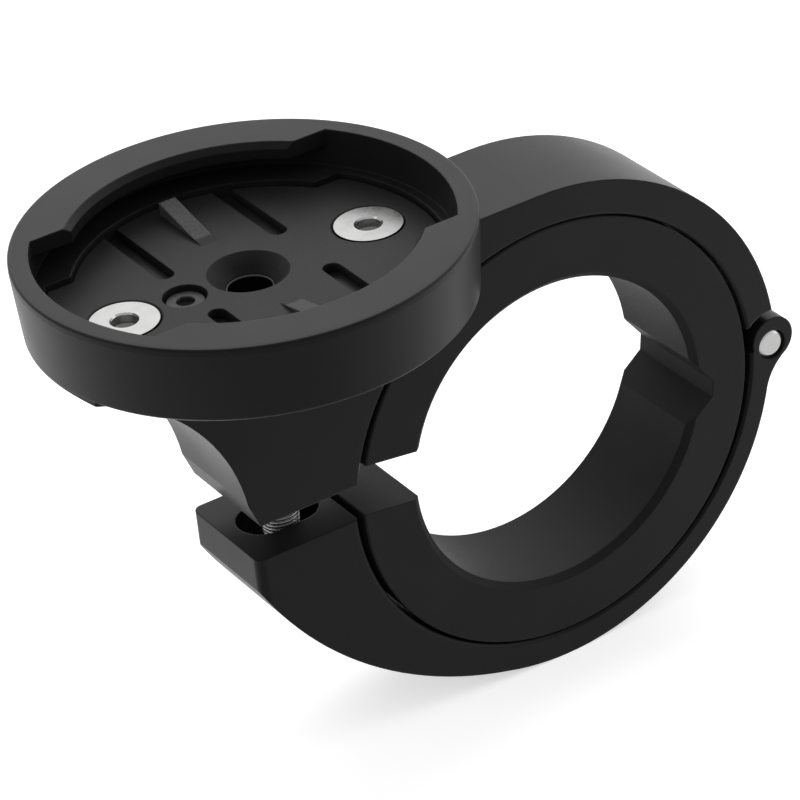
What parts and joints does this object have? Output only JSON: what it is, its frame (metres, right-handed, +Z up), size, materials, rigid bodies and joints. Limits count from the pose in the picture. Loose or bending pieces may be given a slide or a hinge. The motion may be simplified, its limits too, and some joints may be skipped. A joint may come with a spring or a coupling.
{
  "type": "bike computer mount",
  "caption": "Handlebar mount for a bike computer: quarter-turn cup on a short arm with a hinged bar clamp, reducer ring and captive clamp screw.",
  "frame": {"origin": "centre of the bar that the clamp holds, in the middle of the clamp's width", "axes": "+Y along the bar, +Z up along the cup's axis, +X from the cup towards the hinge"},
  "size_m": [0.0613, 0.0338, 0.0443],
  "materials": {
    "anodised_black": "satin black",
    "moulded_black": "matt black",
    "steel": "fine turned",
    "black_steel": "black oxide"
  },
  "bodies": {
    "mount_body": {"upper_body": "anodised_black", "reducer_ring": "moulded_black", "detent_plate": "moulded_black", "plate_screw_front": "steel", "plate_screw_rear": "steel", "lock_screw": "black_steel"},
    "jaw": {"lower_jaw": "anodised_black", "hinge_pin": "steel"},
    "screw": {"clamp_screw": "steel"},
    "nut": {"barrel_nut": "steel"}
  },
  "joints": [
    {"name": "jaw_swing", "type": "hinge", "parent": "mount_body", "child": "jaw", "pos_m": [0.02025, 0, -0.00025], "axis": [0, -1, 0], "range_deg": [0, 100]},
    {"name": "screw_travel", "type": "slide", "parent": "mount_body", "child": "screw", "axis": [0, 0, 1], "range_m": [0, 0.0052]},
    {"name": "nut_turn", "type": "hinge", "parent": "jaw", "child": "nut", "pos_m": [-0.0222, 0, -0.0037], "axis": [0, -1, 0], "range_deg": [-100, 0]}
  ],
  "couplings": [
    {"joint": "screw_travel", "follows": "jaw_swing", "m_per_rad": 0.00297},
    {"joint": "nut_turn", "follows": "jaw_swing", "ratio": -1}
  ]
}
